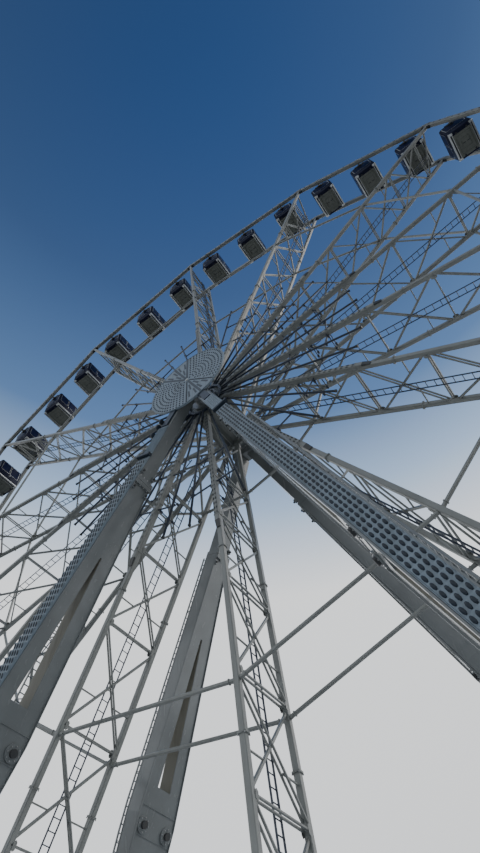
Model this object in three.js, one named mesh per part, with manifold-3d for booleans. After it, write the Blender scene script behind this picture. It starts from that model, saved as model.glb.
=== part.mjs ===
// A transportable giant observation wheel, modelled at 1:2 scale in millimetres, +Z up.
// The axle runs along Y, the wheel turns in the XZ plane and its front faces -Y.
// The origin is on the ground, under the middle of the axle.
import * as THREE from 'three';
import { mergeVertices } from 'three/addons/utils/BufferGeometryUtils.js';
import Module from 'manifold-3d';

const wasm = await Module();
wasm.setup();

// Driving dimensions of the wheel
const RIM_RADIUS = 14000;
const RING_OFFSET = 710;
const HUB_HEIGHT = 15800;
const SPOKE_COUNT = 14;
const SPOKES_PER_SECTION = 2;
const CABINS_PER_BAY = 3;
const WHEEL_PHASE = THREE.MathUtils.degToRad(-2.9);
const SEAT_GAP = 0.3;
const RUNNING_GAP = 0.5;

// Bars of the wheel: widths are in the wheel's plane, depths along the axle
const RIM_BAR = { width: 170, depth: 140 };
const CHORD_SIZE = 110;
const STRUT_SIZE = 56;
const DIAGONAL_SIZE = 50;
const TIE_SIZE = 66;
const OUTER_TIE_RADIUS = 0.657 * RIM_RADIUS;
const INNER_TIE_RADIUS = 0.214 * RIM_RADIUS;
const CROSS_BAR = { width: 34, depth: 34, overhang: 45 };
const CROSS_BAR_RADII = [0.205, 0.285].map((share) => share * RIM_RADIUS);
const STRUT_RADII = [0.233, 0.364, 0.494, 0.643, 0.78, 0.917].map((share) => share * RIM_RADIUS);
const END_DIAGONAL_RADIUS = 0.975 * RIM_RADIUS;
const SPOKE_LIGHT = { width: 120, depth: 50, innerRadius: 850, outerRadius: 0.4 * RIM_RADIUS };
const JOINT_SETBACK = 140;

// Hub and axle
const HUB = { apothem: 640, flangeDepth: 70, coreRadius: 400, boreRadius: 262, coreSides: 16 };
const AXLE = { radius: 250, collarRadius: 400, collarDepth: 80, rearEnd: 1460 };
const HEAD_BLOCK = { halfWidth: 420, depth: 340, below: 520, above: 380 };
const LIGHT_ROD = { size: 60, innerRadius: 560, outerRadius: 0.36 * RIM_RADIUS, bayShare: 1 / 3 };
const LIGHT_RING = { innerApothem: 520, outerRadius: 610 };
const DISPLAY = { radius: 1280, depth: 64, backOffset: 1530, sides: 24 };

// Legs: the axis line runs from the head point to the foot point, and beyond it to the foot plate
const LEG_HEAD_OFFSET = 1274;
const LEG_REACH = { sideways: 5960, outward: 1134, drop: 15050 };
const LEG_STATIONS = [
  { at: 0, width: 320, depth: 270 },
  { at: 0.19, width: 310, depth: 382 },
  { at: 0.6, width: 335, depth: 1022 },
  { at: 1.045, width: 320, depth: 480 },
];
const LEG_SLOTS = [
  { from: 0.375, to: 0.568, fromWidth: 30, toWidth: 360 },
  { from: 0.64, to: 0.8, fromWidth: 360, toWidth: 200 },
];
const LEG_SLOT_REACH = 1000;
const LEG_FLANGE = { at: 0.235, length: 60, rim: 35 };
const FOOT_PLATE = { size: 700, height: 60 };
const LIGHT_STRIP = { width: 310, depth: 60, from: 0.06, to: 0.96 };

// Frame on the ground
const FRAME_BEAM = { width: 240, height: 200, overhang: 400 };

// Cabins: the pivot is the origin of a cabin
const CABIN = { halfWidth: 470, halfDepth: 530, floorHalfWidth: 380, roofHalfWidth: 330 };
const CABIN_LEVELS = { floor: -900, chamfer: -780, eaves: 60, roof: 150 };
const CABIN_INSIDE = { halfWidth: 425, halfDepth: 490, bottom: -800, top: 40 };
const CABIN_WINDOW = { endHalfWidth: 330, sideHalfWidth: 380, bottom: -520, top: -90 };
const CABIN_PIN = { radius: 45, sides: 6, sunk: 5 };

// Values worked out from the sizes above
const STEP = (2 * Math.PI) / SPOKE_COUNT;
const SECTION_COUNT = SPOKE_COUNT / SPOKES_PER_SECTION;
const ROD_LEAN = Math.atan(Math.tan(STEP / 2) * LIGHT_ROD.bayShare);
const HUB_FACE = RING_OFFSET + HUB.flangeDepth / 2;
const FRAME_TOP = FRAME_BEAM.height;
const FOOT_AT = (HUB_HEIGHT - FRAME_TOP) / LEG_REACH.drop;
const FOOT_X = LEG_REACH.sideways * FOOT_AT;
const FOOT_Y = LEG_HEAD_OFFSET + LEG_REACH.outward * FOOT_AT;
const SIDES = [-1, 1];

const steelPaint = new THREE.MeshStandardMaterial({ color: 0xc9ccc9, roughness: 0.5, metalness: 0.35 });
const legPaint = new THREE.MeshStandardMaterial({ color: 0xc4c6c0, roughness: 0.55, metalness: 0.3 });
const darkPaint = new THREE.MeshStandardMaterial({ color: 0x2b3138, roughness: 0.5, metalness: 0.4 });
const displayPaint = new THREE.MeshStandardMaterial({ color: 0xa9b6c4, roughness: 0.45, metalness: 0.2 });
const cabinPaint = new THREE.MeshStandardMaterial({ color: 0x23272f, roughness: 0.35, metalness: 0.2 });
const basePaint = new THREE.MeshStandardMaterial({ color: 0x8b8f90, roughness: 0.6, metalness: 0.4 });

// A closed geometry as a solid that can be joined and cut
function solidFrom(geometry) {
  const bare = geometry.clone();
  bare.deleteAttribute('normal');
  bare.deleteAttribute('uv');
  const merged = mergeVertices(bare, 0.001);
  const vertProperties = new Float32Array(merged.attributes.position.array);
  const triVerts = new Uint32Array(merged.index.array);
  return new wasm.Manifold(new wasm.Mesh({ numProp: 3, vertProperties, triVerts }));
}

// A joined and cut solid back as a geometry
function geometryFrom(solid) {
  const mesh = solid.getMesh();
  const geometry = new THREE.BufferGeometry();
  geometry.setAttribute('position', new THREE.BufferAttribute(new Float32Array(mesh.vertProperties), 3));
  geometry.setIndex(new THREE.BufferAttribute(new Uint32Array(mesh.triVerts), 1));
  return geometry;
}

// Several geometries joined into one solid, less the cuts
function joined(parts, cuts = []) {
  const whole = parts.map(solidFrom).reduce((sum, next) => sum.add(next));
  const result = cuts.map(solidFrom).reduce((rest, cut) => rest.subtract(cut), whole);
  return geometryFrom(result);
}

// A point of the wheel: the angle runs from straight up towards +X
function wheelPoint(angle, radius, y) {
  return new THREE.Vector3(radius * Math.sin(angle), y, radius * Math.cos(angle));
}

// A straight bar of rectangular section; its depth lies along the given direction
function bar(start, end, width, depth, depthAlong = new THREE.Vector3(0, 1, 0), extra = 0) {
  const along = end.clone().sub(start);
  const length = along.length() + 2 * extra;
  along.normalize();
  const across = depthAlong.clone().cross(along).normalize();
  const up = along.clone().cross(across);
  const placed = new THREE.Matrix4().makeBasis(along, across, up);
  placed.setPosition(start.clone().add(end).multiplyScalar(0.5));
  return new THREE.BoxGeometry(length, width, depth).applyMatrix4(placed);
}

// A box between two corners
function block(low, high) {
  const size = high.map((value, axis) => value - low[axis]);
  const middle = high.map((value, axis) => (value + low[axis]) / 2);
  return new THREE.BoxGeometry(...size).translate(...middle);
}

// A many-sided prism along Y; a flat side faces straight up when flatUp is set
function prism(radius, sides, fromY, toY, flatUp = false) {
  const turn = flatUp ? Math.PI / sides : 0;
  const length = toY - fromY;
  const geometry = new THREE.CylinderGeometry(radius, radius, length, sides, 1, false, turn);
  return geometry.translate(0, (fromY + toY) / 2, 0);
}

// The cross bars on the front of one spoke, which carry the light rods on both sides of it
function crossBars(angle) {
  return CROSS_BAR_RADII.map((radius) => {
    const middle = wheelPoint(angle, radius, CROSS_BAR.depth / 2 - HUB_FACE);
    const half = radius * Math.tan(STEP / 2 - ROD_LEAN) + CROSS_BAR.overhang;
    const reach = wheelPoint(angle + Math.PI / 2, half, 0);
    return bar(middle.clone().sub(reach), middle.clone().add(reach), CROSS_BAR.width, CROSS_BAR.depth);
  });
}

// One spoke: a front and a rear chord with struts and diagonals between them, and the light box and cross bars
// on the front chord
function spokeParts(angle) {
  const radial = wheelPoint(angle, 1, 0);
  const inner = HUB.apothem + SEAT_GAP;
  const chords = SIDES.map((side) => {
    const y = side * RING_OFFSET;
    return bar(wheelPoint(angle, inner, y), wheelPoint(angle, RIM_RADIUS, y), CHORD_SIZE, CHORD_SIZE);
  });
  const lightY = -RING_OFFSET - (CHORD_SIZE + SPOKE_LIGHT.depth) / 2;
  const lightStart = wheelPoint(angle, SPOKE_LIGHT.innerRadius, lightY);
  const lightEnd = wheelPoint(angle, SPOKE_LIGHT.outerRadius, lightY);
  const light = bar(lightStart, lightEnd, SPOKE_LIGHT.width, SPOKE_LIGHT.depth);
  const struts = STRUT_RADII.map((radius) => {
    const start = wheelPoint(angle, radius, -RING_OFFSET);
    const end = wheelPoint(angle, radius, RING_OFFSET);
    return bar(start, end, STRUT_SIZE, STRUT_SIZE, radial);
  });
  const diagonals = STRUT_RADII.slice(1).map((radius, index) => {
    const start = wheelPoint(angle, STRUT_RADII[index], -RING_OFFSET);
    const end = wheelPoint(angle, radius, RING_OFFSET);
    return bar(start, end, DIAGONAL_SIZE, DIAGONAL_SIZE, radial);
  });
  const lastStrut = STRUT_RADII[STRUT_RADII.length - 1];
  const endStart = wheelPoint(angle, END_DIAGONAL_RADIUS, -RING_OFFSET);
  const endDiagonal = bar(endStart, wheelPoint(angle, lastStrut, RING_OFFSET), DIAGONAL_SIZE, DIAGONAL_SIZE, radial);
  return [...chords, light, ...crossBars(angle), ...struts, ...diagonals, endDiagonal];
}

// The rims and outer ties of both planes and the rear inner tie, from one spoke to the next
function bayParts(fromAngle, startShare) {
  const tie = { width: TIE_SIZE, depth: TIE_SIZE, extra: 0 };
  const rim = { ...RIM_BAR, extra: (RIM_BAR.width / 2) * Math.tan(STEP / 2) };
  const rings = [
    { radius: RIM_RADIUS, section: rim, sides: SIDES },
    { radius: OUTER_TIE_RADIUS, section: tie, sides: SIDES },
    { radius: INNER_TIE_RADIUS, section: tie, sides: [1] },
  ];
  return rings.flatMap(({ radius, section, sides }) =>
    sides.map((side) => {
      const near = wheelPoint(fromAngle, radius, side * RING_OFFSET);
      const far = wheelPoint(fromAngle + STEP, radius, side * RING_OFFSET);
      const start = near.clone().lerp(far, startShare);
      return bar(start, far, section.width, section.depth, new THREE.Vector3(0, 1, 0), section.extra);
    }),
  );
}

// A sector of the wheel: two spokes with the bars that reach to the next sector
function wheelSectionGeometry() {
  const parts = [...bayParts(-STEP, 0.9)];
  for (let index = 0; index < SPOKES_PER_SECTION; index += 1) {
    parts.push(...spokeParts(index * STEP), ...bayParts(index * STEP, 0));
  }
  const far = 2 * RIM_RADIUS;
  const before = block([-far, -far, -far], [-JOINT_SETBACK, far, far]);
  const after = block([-JOINT_SETBACK - SEAT_GAP, -far, 0], [far, far, far]);
  after.rotateY(SPOKES_PER_SECTION * STEP);
  return joined(parts, [before, after]);
}

// The hub: two flanges, one flat side to each spoke, on a hollow core
function hubGeometry() {
  const flangeRadius = HUB.apothem / Math.cos(STEP / 2);
  const flanges = SIDES.map((side) => {
    const middle = side * RING_OFFSET;
    const half = HUB.flangeDepth / 2;
    return prism(flangeRadius, SPOKE_COUNT, middle - half, middle + half, true);
  });
  const core = prism(HUB.coreRadius, HUB.coreSides, -RING_OFFSET, RING_OFFSET);
  const bore = prism(HUB.boreRadius, HUB.coreSides, -RIM_RADIUS, RIM_RADIUS);
  return joined([...flanges, core], [bore]);
}

// Light rods of the front: two in each bay, on a ring plate that lies on the hub's flange
function lightRodsGeometry() {
  const inside = HUB_FACE + SEAT_GAP;
  const faces = [-inside - LIGHT_ROD.size, -inside];
  const ringRadius = LIGHT_RING.innerApothem / Math.cos(STEP / 2);
  const plate = prism(LIGHT_RING.outerRadius, SPOKE_COUNT, faces[0], faces[1], true);
  const hole = prism(ringRadius, SPOKE_COUNT, -RIM_RADIUS, RIM_RADIUS, true);
  const y = (faces[0] + faces[1]) / 2;
  const rods = [];
  for (let bay = 0; bay < SPOKE_COUNT; bay += 1) {
    for (const turn of [-ROD_LEAN, ROD_LEAN]) {
      const angle = (bay + 0.5) * STEP + turn;
      const start = wheelPoint(angle, LIGHT_ROD.innerRadius, y);
      const end = wheelPoint(angle, LIGHT_ROD.outerRadius, y);
      rods.push(bar(start, end, LIGHT_ROD.size, LIGHT_ROD.size));
    }
  }
  return joined([plate, ...rods], [hole]);
}

// The axle: shaft, thrust collars beside the hub and a head block over each pair of legs
function axleGeometry() {
  const frontEnd = -DISPLAY.backOffset + SEAT_GAP;
  const shaft = prism(AXLE.radius, HUB.coreSides, frontEnd, AXLE.rearEnd);
  const collars = SIDES.map((side) => {
    const faces = [side * (HUB_FACE + RUNNING_GAP), side * (HUB_FACE + RUNNING_GAP + AXLE.collarDepth)];
    return prism(AXLE.collarRadius, HUB.coreSides, Math.min(...faces), Math.max(...faces));
  });
  const heads = SIDES.map((side) => {
    const y = side * LEG_HEAD_OFFSET;
    const half = HEAD_BLOCK.depth / 2;
    return block([-HEAD_BLOCK.halfWidth, y - half, -HEAD_BLOCK.below], [HEAD_BLOCK.halfWidth, y + half, HEAD_BLOCK.above]);
  });
  return joined([shaft, ...collars, ...heads]);
}

// The round light display across the front end of the axle
function discGeometry() {
  const back = -DISPLAY.backOffset;
  return prism(DISPLAY.radius, DISPLAY.sides, back - DISPLAY.depth, back).translate(0, 0, HUB_HEIGHT);
}

// The axis and the two cross directions of a leg; right and back are -1 or 1
function legFrame(right, back) {
  const head = new THREE.Vector3(0, back * LEG_HEAD_OFFSET, HUB_HEIGHT);
  const reach = new THREE.Vector3(right * LEG_REACH.sideways, back * LEG_REACH.outward, -LEG_REACH.drop);
  const outward = new THREE.Vector3(LEG_REACH.drop * right, 0, LEG_REACH.sideways).normalize();
  const across = new THREE.Vector3(0, 1, 0);
  return { head, reach, outward, across };
}

// Width and depth of a leg at a share of its length
function legSection(at) {
  const next = Math.max(1, LEG_STATIONS.findIndex((station) => station.at >= at));
  const a = LEG_STATIONS[next - 1];
  const b = LEG_STATIONS[next];
  const share = (at - a.at) / (b.at - a.at);
  return {
    width: THREE.MathUtils.lerp(a.width, b.width, share),
    depth: THREE.MathUtils.lerp(a.depth, b.depth, share),
  };
}

// A closed body through a row of four-cornered rings
function loft(rings) {
  const points = rings.flat();
  const faces = [];
  const last = rings.length - 1;
  for (let ring = 0; ring < last; ring += 1) {
    for (let corner = 0; corner < 4; corner += 1) {
      const a = ring * 4 + corner;
      const b = ring * 4 + ((corner + 1) % 4);
      faces.push(a, b, b + 4, a, b + 4, a + 4);
    }
  }
  const end = last * 4;
  faces.push(0, 2, 1, 0, 3, 2, end, end + 1, end + 2, end, end + 2, end + 3);
  const geometry = new THREE.BufferGeometry().setFromPoints(points);
  geometry.setIndex(faces);
  return facingOut(geometry);
}

// Turns every face over where the body is inside out
function facingOut(geometry) {
  const position = geometry.attributes.position;
  const index = geometry.index.array;
  const corner = (slot) => new THREE.Vector3().fromBufferAttribute(position, index[slot]);
  let volume = 0;
  for (let face = 0; face < index.length; face += 3) {
    volume += corner(face).dot(corner(face + 1).cross(corner(face + 2)));
  }
  if (volume < 0) {
    geometry.setIndex(Array.from(index).reverse());
  }
  return geometry;
}

// Four corners of a cross section of a leg, given by spans along its two cross directions
function legRing(frame, at, widthSpan, depthSpan) {
  const centre = frame.head.clone().addScaledVector(frame.reach, at);
  const corners = [[0, 0], [1, 0], [1, 1], [0, 1]];
  return corners.map(([i, j]) => {
    const point = centre.clone().addScaledVector(frame.outward, widthSpan[i]);
    return point.addScaledVector(frame.across, depthSpan[j]);
  });
}

// One leg: a box column, deepest below its middle, with slots through it and a foot plate
function legGeometry(right, back) {
  const frame = legFrame(right, back);
  const column = loft(LEG_STATIONS.map(({ at, width, depth }) =>
    legRing(frame, at, [-width / 2, width / 2], [-depth / 2, depth / 2])));
  const seam = legSection(LEG_FLANGE.at);
  const seamWidth = seam.width / 2 + LEG_FLANGE.rim;
  const seamDepth = seam.depth / 2;
  const flangeShare = LEG_FLANGE.length / frame.reach.length();
  const flange = loft([LEG_FLANGE.at, LEG_FLANGE.at + flangeShare].map((at) =>
    legRing(frame, at, [-seamWidth, seamWidth], [-seamDepth, seamDepth])));
  const slots = LEG_SLOTS.map(({ from, to, fromWidth, toWidth }) =>
    loft([[from, fromWidth], [to, toWidth]].map(([at, width]) =>
      legRing(frame, at, [-LEG_SLOT_REACH, LEG_SLOT_REACH], [-width / 2, width / 2]))));
  const half = FOOT_PLATE.size / 2;
  const bottom = FRAME_TOP + SEAT_GAP;
  const x = right * FOOT_X;
  const y = back * FOOT_Y;
  const plate = block([x - half, y - half, bottom], [x + half, y + half, bottom + FOOT_PLATE.height]);
  const far = 2 * RIM_RADIUS;
  const below = block([-far, -far, -far], [far, far, bottom]);
  const headSeat = HUB_HEIGHT - HEAD_BLOCK.below - SEAT_GAP;
  const above = block([-far, -far, headSeat], [far, far, far]);
  return joined([column, flange, plate], [...slots, below, above]);
}

// The strip of lights along the front of one front leg
function lightStripGeometry(right) {
  const frame = legFrame(right, -1);
  const stations = [LIGHT_STRIP.from, ...LEG_STATIONS.slice(1, -1).map(({ at }) => at), LIGHT_STRIP.to];
  const half = LIGHT_STRIP.width / 2;
  return loft(stations.map((at) => {
    const back = -legSection(at).depth / 2 - SEAT_GAP;
    return legRing(frame, at, [-half, half], [back - LIGHT_STRIP.depth, back]);
  }));
}

// The front display: the disc with the two strips that run down the front legs
function frontDisplayGeometry() {
  return joined([discGeometry(), lightStripGeometry(-1), lightStripGeometry(1)]);
}

// The frame on the ground: a long beam under each pair of legs and three cross beams
function groundFrameGeometry() {
  const half = FRAME_BEAM.width / 2;
  const endX = FOOT_X + FRAME_BEAM.overhang;
  const long = SIDES.map((side) =>
    block([-endX, side * FOOT_Y - half, 0], [endX, side * FOOT_Y + half, FRAME_TOP]));
  const cross = [-FOOT_X, 0, FOOT_X].map((x) =>
    block([x - half, -FOOT_Y, 0], [x + half, FOOT_Y, FRAME_TOP]));
  return joined([...long, ...cross]);
}

// One cabin: a hollow box with a narrowed floor and roof, window openings and two pivot pins
function cabinGeometry() {
  const { halfWidth, halfDepth, floorHalfWidth, roofHalfWidth } = CABIN;
  const { floor, chamfer, eaves, roof } = CABIN_LEVELS;
  const rightSide = [[floorHalfWidth, floor], [halfWidth, chamfer], [halfWidth, eaves], [roofHalfWidth, roof]];
  const leftSide = rightSide.map(([x, z]) => [-x, z]).reverse();
  const outline = new THREE.Shape([...rightSide, ...leftSide].map(([x, z]) => new THREE.Vector2(x, z)));
  const shell = new THREE.ExtrudeGeometry(outline, { depth: 2 * halfDepth, bevelEnabled: false });
  shell.rotateX(Math.PI / 2).translate(0, halfDepth, 0);
  const inside = CABIN_INSIDE;
  const room = block(
    [-inside.halfWidth, -inside.halfDepth, inside.bottom],
    [inside.halfWidth, inside.halfDepth, inside.top],
  );
  const { endHalfWidth, sideHalfWidth, bottom, top } = CABIN_WINDOW;
  const endWindows = block([-endHalfWidth, -2 * halfDepth, bottom], [endHalfWidth, 2 * halfDepth, top]);
  const sideWindows = block([-2 * halfWidth, -sideHalfWidth, bottom], [2 * halfWidth, sideHalfWidth, top]);
  const pinEnd = RING_OFFSET - RIM_BAR.depth / 2 - RUNNING_GAP;
  const pins = SIDES.map((side) => {
    const faces = [side * (halfDepth - CABIN_PIN.sunk), side * pinEnd];
    return prism(CABIN_PIN.radius, CABIN_PIN.sides, Math.min(...faces), Math.max(...faces));
  });
  return joined([shell, ...pins], [room, endWindows, sideWindows]);
}

// A named piece of the model
function piece(name, geometry, material) {
  const mesh = new THREE.Mesh(geometry, material.clone());
  mesh.name = name;
  return mesh;
}

function twoDigits(number) {
  return String(number).padStart(2, '0');
}

const group = new THREE.Group();

// Support: ground frame, four legs, axle and light display
group.add(piece('ground_frame', groundFrameGeometry(), basePaint));
for (const [right, sideName] of [[-1, 'left'], [1, 'right']]) {
  for (const [back, endName] of [[-1, 'front'], [1, 'rear']]) {
    group.add(piece(`leg_${endName}_${sideName}`, legGeometry(right, back), legPaint));
  }
}
const axle = piece('axle', axleGeometry(), legPaint);
axle.position.z = HUB_HEIGHT;
group.add(axle);
group.add(piece('front_display', frontDisplayGeometry(), displayPaint));

// Wheel: hub, light rods and seven sectors, turned to the phase it stands at
const wheel = new THREE.Group();
wheel.position.z = HUB_HEIGHT;
wheel.rotation.y = WHEEL_PHASE;
group.add(wheel);
wheel.add(piece('hub', hubGeometry(), steelPaint));
wheel.add(piece('light_rods', lightRodsGeometry(), darkPaint));
const sectionGeometry = wheelSectionGeometry();
for (let index = 0; index < SECTION_COUNT; index += 1) {
  const section = piece(`wheel_section_${index + 1}`, sectionGeometry, steelPaint);
  section.rotation.y = index * SPOKES_PER_SECTION * STEP;
  wheel.add(section);
}

// Cabins: three to a bay, level, each on the pivot between the two rings
const cabinShape = cabinGeometry();
for (let bay = 0; bay < SPOKE_COUNT; bay += 1) {
  const near = wheelPoint(WHEEL_PHASE + bay * STEP, RIM_RADIUS, 0);
  const far = wheelPoint(WHEEL_PHASE + (bay + 1) * STEP, RIM_RADIUS, 0);
  for (let place = 0; place < CABINS_PER_BAY; place += 1) {
    const cabin = piece(`cabin_${twoDigits(bay * CABINS_PER_BAY + place + 1)}`, cabinShape, cabinPaint);
    cabin.position.copy(near.clone().lerp(far, (place + 0.5) / CABINS_PER_BAY));
    cabin.position.z += HUB_HEIGHT;
    group.add(cabin);
  }
}

export default group;
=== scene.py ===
# Giant observation wheel: an open steel wheel with 42 level cabins, carried between two pairs of box legs.
import math

import bpy
import numpy as np
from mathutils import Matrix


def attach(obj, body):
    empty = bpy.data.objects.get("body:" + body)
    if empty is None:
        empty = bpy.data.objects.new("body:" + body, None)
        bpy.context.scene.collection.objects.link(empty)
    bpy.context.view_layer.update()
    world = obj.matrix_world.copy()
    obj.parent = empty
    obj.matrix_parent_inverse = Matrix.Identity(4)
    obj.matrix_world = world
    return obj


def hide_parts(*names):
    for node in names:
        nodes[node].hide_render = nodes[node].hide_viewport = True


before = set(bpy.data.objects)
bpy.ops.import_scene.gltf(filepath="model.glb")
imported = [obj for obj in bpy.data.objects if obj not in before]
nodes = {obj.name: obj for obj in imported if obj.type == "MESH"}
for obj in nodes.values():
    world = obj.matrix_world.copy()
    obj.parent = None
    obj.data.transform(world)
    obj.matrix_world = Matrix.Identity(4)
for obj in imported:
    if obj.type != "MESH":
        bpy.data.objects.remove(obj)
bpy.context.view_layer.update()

# Ground frame: the welded base on the ground that joins the four feet.
# Rolled steel I-beams in dark grey paint, with bolted splice plates in the two long beams.
FOOT_X = 6.178
FOOT_Y = 2.449
BEAM_END = 6.578
BEAM_WIDTH = 0.24
BEAM_HEIGHT = 0.2


def unit(rows):
    """Each vector divided by its own length."""
    rows = np.asarray(rows, float)
    return rows / np.linalg.norm(rows, axis=-1, keepdims=True)


def skinned(rings, finish=0, soft=False, capped=True):
    """Closed bodies through rows of rings. rings has the shape (body, ring, corner, 3). A face joins corner
    j and j + 1 of one ring to the same corners of the next. The signed volume of a body is the sum of the
    triple products of its triangles over six; where it is negative, the corners are taken in the other
    order."""
    rings = np.asarray(rings, float)
    count, rows, corners = rings.shape[:3]
    index = np.arange(count * rows * corners).reshape(count, rows, corners)
    near = rings - rings.mean(axis=(1, 2), keepdims=True)
    a, b = near[:, :-1], np.roll(near, -1, 2)[:, :-1]
    c, d = np.roll(near, -1, 2)[:, 1:], near[:, 1:]
    volume = (np.cross(a, b) * c + np.cross(a, c) * d).sum(axis=(1, 2, 3))
    index = np.where((volume < 0)[:, None, None], index[:, :, ::-1], index)
    here, there = index[:, :-1], index[:, 1:]
    walls = np.stack([here, np.roll(here, -1, 2), np.roll(there, -1, 2), there], axis=-1).reshape(-1, 4)
    faces = [(walls, soft)]
    if capped:
        faces += [(index[:, 0, ::-1], False), (index[:, -1], False)]
    return rings.reshape(-1, 3), faces, finish


def bars(starts, ends, outline, side=(0.0, 1.0, 0.0), finish=0, soft=False, end_outline=None):
    """Straight bars. Corner j at the start of bar i is start i plus u j times across i plus v j times lift i.
    Along is the unit vector from start to end, across is the side direction less its part along the bar, and
    lift is along x across. The far ring uses end_outline where the bar tapers."""
    starts, ends = np.broadcast_arrays(np.atleast_2d(starts), np.atleast_2d(ends))
    along = unit(ends - starts)
    side = np.broadcast_to(np.asarray(side, float), along.shape)
    across = unit(side - (side * along).sum(-1, keepdims=True) * along)
    lift = np.cross(along, across)
    rings = []
    for middle, shape in ((starts, outline), (ends, outline if end_outline is None else end_outline)):
        u, v = np.asarray(shape, float).T
        rings.append(middle[:, None] + u[:, None] * across[:, None] + v[:, None] * lift[:, None])
    return skinned(np.stack(rings, axis=1), finish, soft)


def cut_corners(width, height, cut):
    """Eight corners of a rectangle with its corners cut off at 45 degrees."""
    w, h = width / 2, height / 2
    return np.array([[w, cut - h], [w, h - cut], [w - cut, h], [cut - w, h],
                     [-w, h - cut], [-w, cut - h], [cut - w, -h], [w - cut, -h]])


def round_outline(radius, sides, turn=0.0):
    """Corners on a circle: radius times cosine and sine of equal steps of angle."""
    angle = turn + np.arange(sides) * 2 * math.pi / sides
    return radius * np.stack([np.cos(angle), np.sin(angle)], axis=-1)


def fitted(name, shells, finishes):
    """One mesh object from many shells: their points are set end to end, and each shell's face corners are
    moved on by the number of points before it."""
    points = np.concatenate([shell[0] for shell in shells])
    first = np.cumsum([0] + [len(shell[0]) for shell in shells])
    groups = [(faces + first[place], soft, shell[2])
              for place, shell in enumerate(shells) for faces, soft in shell[1]]
    corners = np.concatenate([faces.ravel() for faces, _, _ in groups])
    sizes = np.concatenate([np.full(len(faces), faces.shape[1]) for faces, _, _ in groups])
    soft = np.concatenate([np.full(len(faces), smooth) for faces, smooth, _ in groups])
    slots = np.concatenate([np.full(len(faces), finish) for faces, _, finish in groups])
    mesh = bpy.data.meshes.new(name)
    mesh.vertices.add(len(points))
    mesh.vertices.foreach_set("co", points.ravel().astype(np.float32))
    mesh.loops.add(len(corners))
    mesh.loops.foreach_set("vertex_index", corners.astype(np.int32))
    mesh.polygons.add(len(sizes))
    mesh.polygons.foreach_set("loop_start", np.concatenate([[0], np.cumsum(sizes)[:-1]]).astype(np.int32))
    mesh.polygons.foreach_set("use_smooth", soft)
    for finish in finishes:
        mesh.materials.append(finish)
    mesh.polygons.foreach_set("material_index", slots.astype(np.int32))
    mesh.update(calc_edges=True)
    mesh.validate()
    made = bpy.data.objects.new(name, mesh)
    bpy.context.scene.collection.objects.link(made)
    return made


def added(tree, kind, fields=(), values=()):
    """A new shader node, with some of its own fields and the values of some of its inputs."""
    made = tree.nodes.new("ShaderNode" + kind)
    for field, value in dict(fields).items():
        setattr(made, field, value)
    for socket, value in dict(values).items():
        made.inputs[socket].default_value = value
    return made


def joined(tree, *rows):
    """Links between nodes: a row is the giving node, its output, the taking node and its input."""
    for giver, result, taker, socket in rows:
        tree.links.new(giver.outputs[result], taker.inputs[socket])


def weather_group():
    """Outdoor paint or metal: coat x (1 + broad mottling), turned towards dirt where rain streaks (noise drawn
    out along Z) are high. Roughness rises with the dirt, and height is a fine grain."""
    group = bpy.data.node_groups.new("outdoor surface", "ShaderNodeTree")
    for name, kind, value in (("Coat", "Color", (0.5, 0.5, 0.5, 1)), ("Dirt", "Color", (0.1, 0.1, 0.09, 1)),
                              ("Dirt Amount", "Float", 0.4), ("Roughness", "Float", 0.5),
                              ("Grain Scale", "Float", 90.0)):
        socket = group.interface.new_socket(name, in_out="INPUT", socket_type="NodeSocket" + kind)
        socket.default_value = value
    for name, kind in (("Color", "Color"), ("Roughness", "Float"), ("Height", "Float")):
        group.interface.new_socket(name, in_out="OUTPUT", socket_type="NodeSocket" + kind)
    given, out = group.nodes.new("NodeGroupInput"), group.nodes.new("NodeGroupOutput")
    place = added(group, "TexCoord")
    stretched = added(group, "Mapping", values={"Scale": (9, 9, 0.7)})
    broad = added(group, "TexNoise", values={"Scale": 1.3, "Detail": 4})
    streak = added(group, "TexNoise", values={"Scale": 1.6, "Detail": 5})
    grain = added(group, "TexNoise", values={"Detail": 2})
    shade = added(group, "MapRange", values={"From Min": 0.3, "From Max": 0.7, "To Min": 0.86, "To Max": 1.08})
    mask = added(group, "MapRange", values={"From Min": 0.46, "From Max": 0.72})
    amount = added(group, "Math", {"operation": "MULTIPLY"})
    rough = added(group, "Math", {"operation": "MULTIPLY_ADD"}, {1: 0.3})
    tinted = added(group, "Mix", {"data_type": "RGBA", "blend_type": "MULTIPLY"}, {"Factor": 1})
    soiled = added(group, "Mix", {"data_type": "RGBA"})
    joined(group, (place, "Object", broad, "Vector"), (place, "Object", stretched, "Vector"),
           (stretched, "Vector", streak, "Vector"), (place, "Object", grain, "Vector"),
           (given, "Grain Scale", grain, "Scale"), (broad, "Fac", shade, "Value"),
           (streak, "Fac", mask, "Value"),
           (mask, "Result", amount, 0), (given, "Dirt Amount", amount, 1), (given, "Coat", tinted, "A"),
           (shade, "Result", tinted, "B"), (tinted, "Result", soiled, "A"), (given, "Dirt", soiled, "B"),
           (amount, "Value", soiled, "Factor"), (amount, "Value", rough, 0), (given, "Roughness", rough, 2),
           (soiled, "Result", out, "Color"), (rough, "Value", out, "Roughness"), (grain, "Fac", out, "Height"))
    return group


weather = weather_group()


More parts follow.
